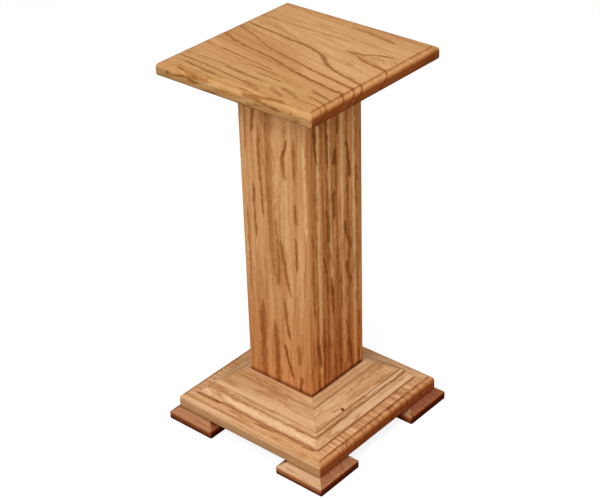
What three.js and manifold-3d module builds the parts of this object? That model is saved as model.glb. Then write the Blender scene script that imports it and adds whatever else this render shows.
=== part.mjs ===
// Oak pedestal column stand, in millimetres, +Z up, standing on the floor at z = 0.
// A square top with a routed edge sits on a hollow column of four mitred boards. The column
// stands on a stepped base: a thin collar trim, a sloped moulding, a plate and four corner feet.
// The origin is on the floor under the middle of the column. X runs along the grain of the top.
import * as THREE from 'three';
import { mergeVertices } from 'three/addons/utils/BufferGeometryUtils.js';
import loadManifold from 'manifold-3d';

const manifold = await loadManifold();
manifold.setup();

// Whole stand
const standHeight = 660.4;
const topSide = 304.8;
const topThickness = 22;
const plateSide = 311;
const plateThickness = 26;
const footHeight = 22.5;

// Routed edge of the top and of the plate: a small step, a roundover, a rounded lower edge
const edgeStep = 1;
const edgeReach = 9.5;
const topEdgeDrop = 8;
const plateEdgeDrop = 9.5;
const lowerRound = 4;
const panelCornerEase = 4;

// Column of four boards, mitred along their length
const columnSide = 134.6;
const columnBoardThickness = 19;
const columnCornerEase = 2;

// Top panel, glued up from two boards
const frontBoardWidth = 67;
const glueLine = 0.1;

// Collar trim, given as distances out from the column and up from its seat
const collarWidth = 17.2;
const collarOuterHeight = 4;
const collarLean = 1.5;
const collarInnerHeight = 7.5;

// Sloped moulding, given as distances out from the middle of the stand and up from the plate
const mouldingHeight = 35;
const slopeFoot = { out: 112, up: 20 };
const beadEnd = { out: 118.6, up: 14.2 };
const coveStart = { out: 119.2, up: 13 };
const coveEnd = { out: 129.5, up: 3.5 };
const beadQuirk = 0.9;
const coveHollow = 1.4;
const mouldingThickness = 17;

// Corner feet: square blocks with a sloped upper edge on all four sides
const footSide = 97;
const footOverhang = 12.7;
const footSlopeRun = 14.7;
const footSlopeRise = 8.2;
const footShoulder = 3.2;
const footCornerEase = 3;
const footArris = 0.8;

// Blocks inside the column, which take the screws
const topCleatThickness = 19;
const baseBlockHeight = 38;
const fitGap = 0.3;
const mitreGap = 0.15;

// Countersunk wood screws and brads
const screwHeadRadius = 4.2;
const screwShankRadius = 2.1;
const screwRim = 0.6;
const screwPoint = 6;
const screwSides = 16;
const driveSlotLength = 4.6;
const driveSlotWidth = 0.9;
const driveSlotDepth = 1.6;
const screwClearance = 0.3;
const overrun = 1; // how far a cutting shape runs past the face it opens
const blockScrewSpread = 30;
const footScrewSpread = 18;
const topScrewLength = 32;
const plateScrewLength = 51;
const footScrewLength = 38;
const blockScrewRecess = 0.5;
const footScrewRecess = 3;
const bradRadius = 0.7;
const bradLength = 30;
const bradSides = 8;
const bradSetBack = 3;
const bradSpread = 40;
const bradCover = 1;

// Resolution of the round stretches
const arcSteps = 6;

// Levels and half sizes worked out from the dimensions above
const topHalf = topSide / 2;
const plateHalf = plateSide / 2;
const columnHalf = columnSide / 2;
const columnInnerHalf = columnHalf - columnBoardThickness;
const plateTop = footHeight + plateThickness;
const mouldingTop = plateTop + mouldingHeight;
const topUnderside = standHeight - topThickness;
const footCentre = plateHalf + footOverhang - footSide / 2;
const collarOut = columnHalf + collarWidth;
const slopeRun = slopeFoot.out - collarOut;
const slopeRise = mouldingHeight - slopeFoot.up;
const slopeLength = Math.hypot(slopeRun, slopeRise);
const bradOut = slopeFoot.out - bradSetBack;
const bradTop = plateTop + slopeFoot.up + (bradSetBack * slopeRise) / slopeRun - bradCover;
const quarterTurn = Math.PI / 2;

// ---- Turning geometry into closed solids, and back ----

function closedShell(geometry) {
  geometry.deleteAttribute('normal');
  geometry.deleteAttribute('uv');
  const shell = mergeVertices(geometry);
  const corners = shell.getIndex().array;
  const kept = [];
  for (let i = 0; i < corners.length; i += 3) {
    const [a, b, c] = corners.slice(i, i + 3);
    if (a !== b && b !== c && c !== a) {
      kept.push(a, b, c);
    }
  }
  shell.setIndex(kept);
  return shell;
}

function solidFrom(geometry) {
  const shell = closedShell(geometry);
  const mesh = new manifold.Mesh({
    numProp: 3,
    vertProperties: new Float32Array(shell.getAttribute('position').array),
    triVerts: new Uint32Array(shell.getIndex().array),
  });
  return new manifold.Manifold(mesh);
}

function geometryFrom(solid) {
  const mesh = solid.getMesh();
  const geometry = new THREE.BufferGeometry();
  geometry.setAttribute('position', new THREE.BufferAttribute(mesh.vertProperties, 3));
  geometry.setIndex(new THREE.BufferAttribute(mesh.triVerts, 1));
  return geometry;
}

function cutAll(solid, cutters) {
  return cutters.reduce((rest, cutter) => rest.subtract(cutter), solid);
}

// ---- Building blocks ----

// A box whose lowest corner and highest corner are given.
function boxBetween(low, high) {
  const size = high.map((value, axis) => value - low[axis]);
  const middle = high.map((value, axis) => (value + low[axis]) / 2);
  return new THREE.BoxGeometry(...size).translate(...middle);
}

// A solid of revolution about the Z axis from an outline of (radius, height) points.
function turned(outline, sides) {
  return new THREE.LatheGeometry(outline, sides).rotateX(quarterTurn);
}

// A square block whose four sides all follow one outline of (distance out, height) points.
function squareTurned(outline) {
  const corners = outline.map((point) => new THREE.Vector2(point.x * Math.SQRT2, point.y));
  return new THREE.LatheGeometry(corners, 4, quarterTurn / 2).rotateX(quarterTurn);
}

// An upright square prism with rounded corners.
function easedSquarePrism(half, ease, bottom, top) {
  const inner = half - ease;
  const plan = new THREE.Shape();
  plan.absarc(inner, inner, ease, 0, quarterTurn);
  plan.absarc(-inner, inner, ease, quarterTurn, 2 * quarterTurn);
  plan.absarc(-inner, -inner, ease, 2 * quarterTurn, 3 * quarterTurn);
  plan.absarc(inner, -inner, ease, 3 * quarterTurn, 4 * quarterTurn);
  const settings = { depth: top - bottom, bevelEnabled: false, curveSegments: arcSteps };
  return new THREE.ExtrudeGeometry(plan, settings).translate(0, 0, bottom);
}

// The front run of a square frame: an outline of (distance out, height) points carried along X
// between two mitres. Turning it by quarter turns gives the other three sides.
function mitredRun(outline) {
  const settings = { depth: 1, bevelEnabled: false, curveSegments: arcSteps };
  const run = new THREE.ExtrudeGeometry(outline, settings);
  const place = run.getAttribute('position');
  for (let i = 0; i < place.count; i += 1) {
    const out = place.getX(i);
    const height = place.getY(i);
    const reach = out - mitreGap;
    place.setXYZ(i, reach * (1 - 2 * place.getZ(i)), -out, height);
  }
  return run;
}

// ---- Screws and brads, standing on their heads at z = 0 and pointing up ----

function screwOutline(length, clearance, sink) {
  const head = screwHeadRadius + clearance;
  const shank = screwShankRadius + clearance;
  const end = length + clearance;
  return [
    new THREE.Vector2(0, -sink),
    new THREE.Vector2(head, -sink),
    new THREE.Vector2(head, screwRim),
    new THREE.Vector2(shank, screwRim + head - shank),
    new THREE.Vector2(shank, end - screwPoint),
    new THREE.Vector2(0, end),
  ];
}

function screwGeometry(length) {
  const arm = driveSlotLength / 2;
  const width = driveSlotWidth / 2;
  const slots = [
    solidFrom(boxBetween([-arm, -width, -overrun], [arm, width, driveSlotDepth])),
    solidFrom(boxBetween([-width, -arm, -overrun], [width, arm, driveSlotDepth])),
  ];
  return geometryFrom(cutAll(solidFrom(turned(screwOutline(length, 0, 0), screwSides)), slots));
}

// The hole for a screw whose head stands at the given place, open downwards over its recess.
function screwHole(length, recess, x, y, headLevel) {
  const hole = turned(screwOutline(length, screwClearance, recess + overrun), screwSides);
  return solidFrom(hole.translate(x, y, headLevel));
}

function bradOutline(length, clearance, rise) {
  const radius = bradRadius + clearance;
  return [
    new THREE.Vector2(0, -clearance),
    new THREE.Vector2(radius, -clearance),
    new THREE.Vector2(radius, length + rise),
    new THREE.Vector2(0, length + rise),
  ];
}

function bradHole(x, y) {
  const hole = turned(bradOutline(bradLength, screwClearance, bradCover + 2 * overrun), bradSides);
  return solidFrom(hole.translate(x, y, bradTop - bradLength));
}

// ---- Where the fasteners go ----

const blockScrewPlaces = [
  [blockScrewSpread, -blockScrewSpread],
  [blockScrewSpread, blockScrewSpread],
  [-blockScrewSpread, blockScrewSpread],
  [-blockScrewSpread, -blockScrewSpread],
];

// Two screws on a slant across the front right foot, given from the middle of the stand.
const footScrewPlaces = [
  [footCentre - footScrewSpread, -footCentre - footScrewSpread],
  [footCentre + footScrewSpread, -footCentre + footScrewSpread],
];

const bradPlaces = [
  [-bradSpread, -bradOut],
  [bradSpread, -bradOut],
];

function turnedPlace([x, y], quarterTurns) {
  const place = new THREE.Vector2(x, y).rotateAround(new THREE.Vector2(), quarterTurns * quarterTurn);
  return [place.x, place.y];
}

const topHeadLevel = topUnderside - topCleatThickness + blockScrewRecess;
const plateHeadLevel = footHeight + blockScrewRecess;

function blockScrewHoles(length, headLevel) {
  return blockScrewPlaces.map(([x, y]) => screwHole(length, blockScrewRecess, x, y, headLevel));
}

function topScrewHoles() {
  return blockScrewHoles(topScrewLength, topHeadLevel);
}

function plateScrewHoles() {
  return blockScrewHoles(plateScrewLength, plateHeadLevel);
}

// The hole for a screw that comes up from the underside of a foot.
function footScrewHole([x, y]) {
  return screwHole(footScrewLength, footScrewRecess, x, y, footScrewRecess);
}

// ---- Top ----

function routedPanelOutline(half, bottom, thickness, drop) {
  const top = bottom + thickness;
  const outline = new THREE.Path();
  outline.moveTo(0, bottom);
  outline.lineTo(half - lowerRound, bottom);
  outline.absarc(half - lowerRound, bottom + lowerRound, lowerRound, -quarterTurn, 0);
  outline.absellipse(half - edgeReach, top - edgeStep - drop, edgeReach, drop, 0, quarterTurn);
  outline.lineTo(half - edgeReach, top);
  outline.lineTo(0, top);
  return outline.getPoints(arcSteps);
}

function routedPanel(half, bottom, thickness, drop) {
  const panel = solidFrom(squareTurned(routedPanelOutline(half, bottom, thickness, drop)));
  const top = bottom + thickness + overrun;
  const plan = easedSquarePrism(half, panelCornerEase, bottom - overrun, top);
  return panel.intersect(solidFrom(plan));
}

// The part of the top panel between two distances along Y.
function topBoard(low, high) {
  const slice = boxBetween([-topSide, low, 0], [topSide, high, 2 * standHeight]);
  const panel = routedPanel(topHalf, topUnderside, topThickness, topEdgeDrop);
  return panel.intersect(solidFrom(slice));
}

function topWideBoard() {
  const seam = frontBoardWidth - topHalf;
  return geometryFrom(cutAll(topBoard(seam + glueLine / 2, topSide), topScrewHoles()));
}

function topFrontBoard() {
  const seam = frontBoardWidth - topHalf;
  return geometryFrom(topBoard(-topSide, seam - glueLine / 2));
}

// ---- Column ----

function columnBoard() {
  const outline = new THREE.Shape();
  outline.moveTo(columnInnerHalf, plateTop);
  outline.lineTo(columnHalf, plateTop);
  outline.lineTo(columnHalf, topUnderside);
  outline.lineTo(columnInnerHalf, topUnderside);
  const top = topUnderside + overrun;
  const eased = easedSquarePrism(columnHalf, columnCornerEase, plateTop - overrun, top);
  return geometryFrom(solidFrom(mitredRun(outline)).intersect(solidFrom(eased)));
}

function innerBlock(bottom, top, holes) {
  const half = columnInnerHalf - fitGap;
  const block = boxBetween([-half, -half, bottom], [half, half, top]);
  return geometryFrom(cutAll(solidFrom(block), holes));
}

// ---- Base ----

function collarTrim() {
  const outline = new THREE.Shape();
  const inner = columnHalf + fitGap;
  outline.moveTo(inner, mouldingTop);
  outline.lineTo(collarOut, mouldingTop);
  outline.lineTo(collarOut - collarLean / 2, mouldingTop + collarOuterHeight - collarLean / 2);
  outline.lineTo(collarOut - collarLean, mouldingTop + collarOuterHeight);
  outline.lineTo(inner, mouldingTop + collarInnerHeight);
  return mitredRun(outline);
}

// The moulding is a board laid on the slope, so a hollow corner is left behind it at the column.
function mouldingOutline() {
  const outline = new THREE.Shape();
  const inner = columnHalf + fitGap;
  const fall = slopeRise / slopeRun;
  const thicknessUpright = (mouldingThickness * slopeLength) / slopeRun;
  const backTop = mouldingTop + (collarOut - inner) * fall - thicknessUpright;
  outline.moveTo(inner, mouldingTop);
  outline.lineTo(inner, backTop);
  outline.lineTo(inner + (backTop - plateTop) / fall, plateTop);
  outline.lineTo(coveEnd.out, plateTop);
  outline.lineTo(coveEnd.out, plateTop + coveEnd.up);
  outline.quadraticCurveTo(
    (coveStart.out + coveEnd.out) / 2 - coveHollow,
    plateTop + (coveStart.up + coveEnd.up) / 2 - coveHollow,
    coveStart.out,
    plateTop + coveStart.up,
  );
  outline.lineTo(beadEnd.out, plateTop + beadEnd.up);
  outline.quadraticCurveTo(
    beadEnd.out - beadQuirk,
    plateTop + slopeFoot.up - beadQuirk,
    slopeFoot.out + beadQuirk,
    plateTop + slopeFoot.up - beadQuirk,
  );
  outline.lineTo(slopeFoot.out, plateTop + slopeFoot.up);
  outline.lineTo(collarOut, mouldingTop);
  return outline;
}

function baseMoulding() {
  const holes = bradPlaces.map(([x, y]) => bradHole(x, y));
  return geometryFrom(cutAll(solidFrom(mitredRun(mouldingOutline())), holes));
}

function basePlate() {
  const holes = plateScrewHoles();
  for (let turns = 0; turns < 4; turns += 1) {
    for (const place of bradPlaces) {
      holes.push(bradHole(...turnedPlace(place, turns)));
    }
    for (const place of footScrewPlaces) {
      holes.push(footScrewHole(turnedPlace(place, turns)));
    }
  }
  const panel = routedPanel(plateHalf, footHeight, plateThickness, plateEdgeDrop);
  return geometryFrom(cutAll(panel, holes));
}

function footOutline() {
  const half = footSide / 2;
  const slopeStart = footHeight - footSlopeRise;
  const outline = new THREE.Path();
  outline.moveTo(0, 0);
  outline.lineTo(half - footArris, 0);
  outline.lineTo(half, footArris);
  outline.lineTo(half, slopeStart - footShoulder);
  outline.quadraticCurveTo(half, slopeStart - footShoulder / 4, half - footShoulder, slopeStart);
  outline.lineTo(half - footSlopeRun, footHeight);
  outline.lineTo(0, footHeight);
  return outline.getPoints(arcSteps);
}

function frontRightFoot() {
  const plan = easedSquarePrism(footSide / 2, footCornerEase, -overrun, footHeight + overrun);
  const block = solidFrom(squareTurned(footOutline())).intersect(solidFrom(plan));
  const inPlace = block.translate(footCentre, -footCentre, 0);
  return geometryFrom(cutAll(inPlace, footScrewPlaces.map(footScrewHole)));
}

// ---- Finishes ----

const topOak = { color: 0xcf9c68, roughness: 0.48, metalness: 0 };
const columnOak = { color: 0xbd8450, roughness: 0.5, metalness: 0 };
const baseOak = { color: 0xc99560, roughness: 0.5, metalness: 0 };
const footOak = { color: 0xb87d50, roughness: 0.52, metalness: 0 };
const hiddenOak = { color: 0xc8a274, roughness: 0.7, metalness: 0 };
const zincSteel = { color: 0xb9b6a8, roughness: 0.35, metalness: 0.9 };

function piece(name, geometry, finish) {
  const mesh = new THREE.Mesh(geometry, new THREE.MeshStandardMaterial(finish));
  mesh.name = name;
  return mesh;
}

function placed(mesh, x, y, z) {
  mesh.position.set(x, y, z);
  return mesh;
}

// ---- Assembly ----

function addTop(stand) {
  stand.add(piece('top_wide_board', topWideBoard(), topOak));
  stand.add(piece('top_front_board', topFrontBoard(), topOak));
  const cleatBottom = topUnderside - topCleatThickness;
  stand.add(piece('top_cleat', innerBlock(cleatBottom, topUnderside, topScrewHoles()), hiddenOak));
  blockScrewPlaces.forEach(([x, y], i) => {
    const screw = piece(`top_cleat_screw_${i + 1}`, screwGeometry(topScrewLength), zincSteel);
    stand.add(placed(screw, x, y, topHeadLevel));
  });
}

function addBaseCore(stand) {
  stand.add(piece('base_plate', basePlate(), baseOak));
  const block = innerBlock(plateTop, plateTop + baseBlockHeight, plateScrewHoles());
  stand.add(piece('column_base_block', block, hiddenOak));
  blockScrewPlaces.forEach(([x, y], i) => {
    const screw = piece(`base_plate_screw_${i + 1}`, screwGeometry(plateScrewLength), zincSteel);
    stand.add(placed(screw, x, y, plateHeadLevel));
  });
}

// One side of the column and base, drawn as the front and turned into place.
function sideOfStand(side, turns) {
  const group = new THREE.Group();
  group.add(piece(`column_${side}_board`, columnBoard(), columnOak));
  group.add(piece(`collar_trim_${side}`, collarTrim(), baseOak));
  group.add(piece(`base_moulding_${side}`, baseMoulding(), baseOak));
  bradPlaces.forEach(([x, y], i) => {
    const brad = turned(bradOutline(bradLength, 0, 0), bradSides);
    const mesh = piece(`moulding_brad_${side}_${i + 1}`, brad, zincSteel);
    group.add(placed(mesh, x, y, bradTop - bradLength));
  });
  group.rotation.z = turns * quarterTurn;
  return group;
}

// One corner foot with its screws, drawn at the front right and turned into place.
function cornerOfStand(corner, turns) {
  const group = new THREE.Group();
  group.add(piece(`foot_${corner}`, frontRightFoot(), footOak));
  footScrewPlaces.forEach(([x, y], i) => {
    const screw = piece(`foot_screw_${corner}_${i + 1}`, screwGeometry(footScrewLength), zincSteel);
    group.add(placed(screw, x, y, footScrewRecess));
  });
  group.rotation.z = turns * quarterTurn;
  return group;
}

const stand = new THREE.Group();
addTop(stand);
addBaseCore(stand);
['front', 'right', 'back', 'left'].forEach((side, turns) => stand.add(sideOfStand(side, turns)));
const corners = ['front_right', 'back_right', 'back_left', 'front_left'];
corners.forEach((corner, turns) => stand.add(cornerOfStand(corner, turns)));

export default stand;
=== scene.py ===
"""Looks of the oak pedestal column stand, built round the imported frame.

Every visible board is a finely profiled mesh with eased arrises, and carries its own place in the
log that it was sawn from, so that face, edge and end grain belong together. Metres, +Z up.
"""

import math
from dataclasses import dataclass

import bmesh
import bpy
from mathutils import Matrix, Vector


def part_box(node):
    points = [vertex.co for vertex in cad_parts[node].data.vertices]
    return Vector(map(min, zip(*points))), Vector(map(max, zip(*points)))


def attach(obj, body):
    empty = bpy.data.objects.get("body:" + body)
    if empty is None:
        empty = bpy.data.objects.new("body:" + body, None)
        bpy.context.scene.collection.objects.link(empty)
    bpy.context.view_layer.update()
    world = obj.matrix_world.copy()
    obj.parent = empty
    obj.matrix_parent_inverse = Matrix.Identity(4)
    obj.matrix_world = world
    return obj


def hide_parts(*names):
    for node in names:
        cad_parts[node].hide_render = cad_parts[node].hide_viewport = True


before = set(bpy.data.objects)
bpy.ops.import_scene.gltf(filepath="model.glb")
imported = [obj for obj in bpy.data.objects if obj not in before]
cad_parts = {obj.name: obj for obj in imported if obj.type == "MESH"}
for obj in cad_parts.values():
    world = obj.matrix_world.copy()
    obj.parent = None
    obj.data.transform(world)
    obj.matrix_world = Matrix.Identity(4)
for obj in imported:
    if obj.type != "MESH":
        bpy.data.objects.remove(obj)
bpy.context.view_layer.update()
scene = bpy.context.scene

MM = 0.001

# ---- Camera, fitted to the photograph's edges ----

IMAGE_WIDTH = 600
FOCAL_PIXELS = 1527.9
SENSOR_WIDTH = 36.0
CAMERA_AZIMUTH = 41.07
CAMERA_ELEVATION = 30.96
CAMERA_ROLL = -1.72
CAMERA_DISTANCE = 2490.0 * MM
CAMERA_TARGET = Vector((-17.5, 10.8, 304.8)) * MM


def direction(azimuth, elevation):
    """The way from the stand towards a viewpoint. The angles are in radians."""
    level = math.cos(elevation)
    return Vector((math.sin(azimuth) * level, -math.cos(azimuth) * level, math.sin(elevation)))


def make_camera():
    azimuth = math.radians(CAMERA_AZIMUTH)
    roll = math.radians(CAMERA_ROLL)
    back = direction(azimuth, math.radians(CAMERA_ELEVATION))
    right = Vector((math.cos(azimuth), math.sin(azimuth), 0))
    up = back.cross(right)
    rolled_right = right * math.cos(roll) + up * math.sin(roll)
    rolled_up = up * math.cos(roll) - right * math.sin(roll)
    camera = bpy.data.objects.new("camera", bpy.data.cameras.new("camera"))
    camera.data.sensor_width = SENSOR_WIDTH
    camera.data.lens = FOCAL_PIXELS / IMAGE_WIDTH * SENSOR_WIDTH
    camera.matrix_world = Matrix.Translation(CAMERA_TARGET + back * CAMERA_DISTANCE) @ Matrix(
        (rolled_right, rolled_up, back)
    ).transposed().to_4x4()
    scene.collection.objects.link(camera)
    scene.camera = camera


make_camera()

# ---- Sizes, from the frame where it holds them ----

plate_low, plate_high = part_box("base_plate")
column_low, column_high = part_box("column_right_board")
collar_low, collar_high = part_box("collar_trim_right")
_, moulding_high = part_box("base_moulding_right")
top_low, top_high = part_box("top_wide_board")
_, front_board_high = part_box("top_front_board")
foot_low, foot_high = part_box("foot_front_right")
brad_low, brad_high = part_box("moulding_brad_right_1")

PLATE_HALF, TOP_HALF = plate_high[0], top_high[0]
PLATE_BOTTOM, PLATE_TOP = plate_low[2], plate_high[2]
TOP_UNDERSIDE, TOP_LEVEL = top_low[2], top_high[2]
SEAM_BEHIND, SEAM_AHEAD = top_low[1], front_board_high[1]
COLUMN_HALF, COLUMN_INNER = column_high[0], column_low[0]
COLLAR_INNER, COLLAR_OUT = collar_low[0], collar_high[0]
COLLAR_BOTTOM, COLLAR_TOP = collar_low[2], collar_high[2]
MOULDING_OUT = moulding_high[0]
FOOT_HALF = (foot_high[0] - foot_low[0]) / 2
FOOT_CENTRE = (foot_high[0] + foot_low[0]) / 2
FOOT_HEIGHT = foot_high[2]
BRAD_OUT = (brad_low[0] + brad_high[0]) / 2
BRAD_SPREAD = abs(brad_low[1] + brad_high[1]) / 2

EDGE_STEP = 1.0 * MM
STEP_LEAN = 1.4 * MM
EDGE_REACH = 9.5 * MM
ROUND_END_ANGLE = 78
TOP_EDGE_DROP = 8.0 * MM
PLATE_EDGE_DROP = 9.5 * MM
LOWER_ROUND = 4.0 * MM
PANEL_EASE = 4.0 * MM
LEAST_EASE = 0.4 * MM
COLUMN_EASE = 2.0 * MM
MITRE_GAP = 0.06 * MM

COLLAR_OUTER_RISE = 4.0 * MM
COLLAR_LEAN = 1.5 * MM
SLOPE_FOOT = (112.0 * MM, 20.0 * MM)
SLOPE_FALL = (COLLAR_BOTTOM - PLATE_TOP - SLOPE_FOOT[1]) / (SLOPE_FOOT[0] - COLLAR_OUT)
BEAD_END = (118.6 * MM, 14.2 * MM)
COVE_START = (119.2 * MM, 13.0 * MM)
COVE_END_RISE = 3.5 * MM
BEAD_QUIRK = 0.9 * MM
COVE_HOLLOW = 1.4 * MM
MOULDING_THICKNESS = 17.0 * MM
NOTCH = 1.4 * MM
JOINT_EASE = 0.5 * MM

FOOT_SLOPE_RUN = 14.7 * MM
FOOT_SLOPE_RISE = 8.2 * MM
FOOT_SHOULDER = 3.2 * MM
FOOT_EASE = 3.0 * MM
FOOT_ARRIS = 0.8 * MM

ARC_STEPS = 10
CORNER_STEPS = 6

FILLING_RADIUS = 1.1 * MM
FILLING_DEPTH = 0.6 * MM
FILLING_CROWN = 0.08 * MM
FILLING_CROWN_PART = 0.6
FILLING_STEPS = 4 * CORNER_STEPS
DARK_FILLING_SPREAD = 2.9
FINE_ARRIS = 0.14 * MM
WORN_ARRIS = 0.5 * MM
SHARP_ANGLE = math.radians(28)

SIDES = ("front", "right", "back", "left")
CORNERS = ("front_right", "back_right", "back_left", "front_left")

# ---- Outlines, as (distance out, height) points ----


def arc(centre, radii, start, end, steps):
    """Points on an ellipse, from one angle to another, in degrees."""
    points = []
    for step in range(steps + 1):
        angle = math.radians(start + (end - start) * step / steps)
        points.append((centre[0] + radii[0] * math.cos(angle), centre[1] + radii[1] * math.sin(angle)))
    return points


def bend(start, control, end, steps):
    """Points on a quadratic curve."""
    points = []
    for step in range(steps + 1):
        t = step / steps
        near, between, far = (1 - t) ** 2, 2 * t * (1 - t), t**2
        points.append(tuple(near * a + between * b + far * c for a, b, c in zip(start, control, end)))
    return points


def routed_outline(half, bottom, top, drop):
    """From the underside out, round the routed edge and up over its step to the flat top."""
    lower_centre = (half - LOWER_ROUND, bottom + LOWER_ROUND)
    upper_centre = (half - EDGE_REACH, top - EDGE_STEP - drop)
    lower = arc(lower_centre, (LOWER_ROUND, LOWER_ROUND), -90, 0, ARC_STEPS)
    upper = arc(upper_centre, (EDGE_REACH, drop), 0, ROUND_END_ANGLE, 2 * ARC_STEPS)
    step_foot = (half - EDGE_REACH + STEP_LEAN / 2, top - EDGE_STEP - STEP_LEAN / 2)
    return [*lower, *upper, step_foot, (half - EDGE_REACH - STEP_LEAN / 2, top)]


def foot_outline():
    slope_start = FOOT_HEIGHT - FOOT_SLOPE_RISE
    shoulder = bend(
        (FOOT_HALF, slope_start - FOOT_SHOULDER),
        (FOOT_HALF, slope_start - FOOT_SHOULDER / 4),
        (FOOT_HALF - FOOT_SHOULDER, slope_start),
        ARC_STEPS,
    )
    ease = arc((FOOT_HALF - FOOT_ARRIS, FOOT_ARRIS), (FOOT_ARRIS, FOOT_ARRIS), -90, 0, ARC_STEPS // 2)
    return [*ease, *shoulder, (FOOT_HALF - FOOT_SLOPE_RUN, FOOT_HEIGHT)]


def collar_outline():
    shoulder = bend(
        (COLLAR_OUT - COLLAR_LEAN / 3, COLLAR_BOTTOM + COLLAR_OUTER_RISE - COLLAR_LEAN),
        (COLLAR_OUT - COLLAR_LEAN / 2, COLLAR_BOTTOM + COLLAR_OUTER_RISE),
        (COLLAR_OUT - 2 * COLLAR_LEAN, COLLAR_BOTTOM + COLLAR_OUTER_RISE + COLLAR_LEAN / 4),
        ARC_STEPS // 2,
    )
    return [
        (COLLAR_INNER, COLLAR_BOTTOM),
        (COLLAR_OUT - JOINT_EASE, COLLAR_BOTTOM),
        (COLLAR_OUT, COLLAR_BOTTOM + JOINT_EASE),
        *shoulder,
        (COLLAR_INNER, COLLAR_TOP),
    ]


def slope_rise(out):
    """Height of the moulding's wide face at a distance out from the middle of the stand."""
    return COLLAR_BOTTOM - (out - COLLAR_OUT) * SLOPE_FALL


def moulding_outline():
    """The moulding is a board laid on the slope, with a hollow corner left behind it."""
    back_top = slope_rise(COLLAR_INNER) - MOULDING_THICKNESS * math.hypot(1, SLOPE_FALL)
    quirk = (SLOPE_FOOT[0] + BEAD_QUIRK, PLATE_TOP + SLOPE_FOOT[1] - BEAD_QUIRK)
    upper_notch = (SLOPE_FOOT[0] - NOTCH / 2, PLATE_TOP + SLOPE_FOOT[1] - BEAD_QUIRK - NOTCH / 4)
    lower_notch = (BEAD_END[0] - NOTCH / 2, PLATE_TOP + COVE_START[1] + NOTCH / 4)
    bead_end = (BEAD_END[0], PLATE_TOP + BEAD_END[1])
    bead_peak = (BEAD_END[0] - BEAD_QUIRK, PLATE_TOP + SLOPE_FOOT[1] - BEAD_QUIRK)
    cove_start = (COVE_START[0], PLATE_TOP + COVE_START[1])
    cove_end = (MOULDING_OUT, PLATE_TOP + COVE_END_RISE)
    hollow = tuple((a + b) / 2 - COVE_HOLLOW for a, b in zip(cove_start, cove_end))
    return [
        (COLLAR_INNER, COLLAR_BOTTOM),
        (COLLAR_INNER, back_top),
        (COLLAR_INNER + (back_top - PLATE_TOP) / SLOPE_FALL, PLATE_TOP),
        (MOULDING_OUT - JOINT_EASE, PLATE_TOP),
        (MOULDING_OUT, PLATE_TOP + JOINT_EASE),
        *bend(cove_end, hollow, cove_start, ARC_STEPS),
        lower_notch,
        *bend(bead_end, bead_peak, quirk, ARC_STEPS),
        upper_notch,
        (SLOPE_FOOT[0], PLATE_TOP + SLOPE_FOOT[1]),
        (COLLAR_OUT, COLLAR_BOTTOM),
    ]


# ---- Solids in mesh code ----


def skin(shape, rings):
    """Closed skin over rings of points, with a flat cap on the first ring and the last."""
    loops = [[shape.verts.new(point) for point in ring] for ring in rings]
    count = len(loops[0])
    for low, high in zip(loops, loops[1:]):
        for i in range(count):
            j = (i + 1) % count
            shape.faces.new((low[i], low[j], high[j], high[i]))
    shape.faces.new(loops[0][::-1])
    shape.faces.new(loops[-1])


def square_ring(out, height, ease, centre):
    """A level square with rounded corners."""
    inner = out - ease
    ring = []
    for corner, (side_x, side_y) in enumerate(((1, 1), (-1, 1), (-1, -1), (1, -1))):
        for step in range(CORNER_STEPS + 1):
            angle = math.radians(90 * (corner + step / CORNER_STEPS))
            x = centre[0] + side_x * inner + ease * math.cos(angle)
            y = centre[1] + side_y * inner + ease * math.sin(angle)
            ring.append((x, y, height))
    return ring


def square_block(outline, ease, centre=(0, 0)):
    """A square block whose four sides follow one outline. Its corners are sharper further in."""
    shape = bmesh.new()
    widest = max(out for out, _ in outline)
    rings = []
    for out, height in outline:
        rings.append(square_ring(out, height, max(ease - (widest - out), LEAST_EASE), centre))
    skin(shape, rings)
    return shape


def mitred_run(outline):
    """The front run of a square frame, between two mitres."""
    shape = bmesh.new()
    rings = []
    for end in (-1, 1):
        rings.append([(end * (out - MITRE_GAP), -out, height) for out, height in outline])
    skin(shape, rings)
    return shape


def column_plan():
    """The front board of the column seen from above, with its outer corners eased."""
    centre = COLUMN_HALF - COLUMN_EASE
    reach = math.degrees(math.asin(MITRE_GAP / (math.sqrt(2) * COLUMN_EASE)))
    right = arc((centre, -centre), (COLUMN_EASE, COLUMN_EASE), -90, -45 - reach, ARC_STEPS // 2)
    left = [(-x, y) for x, y in reversed(right)]
    inner = COLUMN_INNER - MITRE_GAP
    return [(-inner, -COLUMN_INNER), *left, *right, (inner, -COLUMN_INNER)]


def column_board():
    shape = bmesh.new()
    plan = column_plan()
    skin(shape, [[(x, y, height) for x, y in plan] for height in (PLATE_TOP, TOP_UNDERSIDE)])
    return shape


def keep_beyond(shape, y, sign):
    """Saws the shape at a distance along Y, keeps the side that sign points to, and closes the cut."""
    everything = [*shape.verts, *shape.edges, *shape.faces]
    cut = bmesh.ops.bisect_plane(
        shape, geom=everything, plane_co=(0, y, 0), plane_no=(0, -sign, 0), clear_outer=True
    )
    edges = [e for e in cut["geom_cut"] if isinstance(e, bmesh.types.BMEdge)]
    bmesh.ops.contextual_create(shape, geom=edges)
    return shape


def turn(shape, quarter_turns):
    spin = Matrix.Rotation(math.pi / 2 * quarter_turns, 4, "Z")
    bmesh.ops.transform(shape, matrix=spin, verts=shape.verts)
    return shape


# ---- Grain: where each board sat in its log, in millimetres ----


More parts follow.
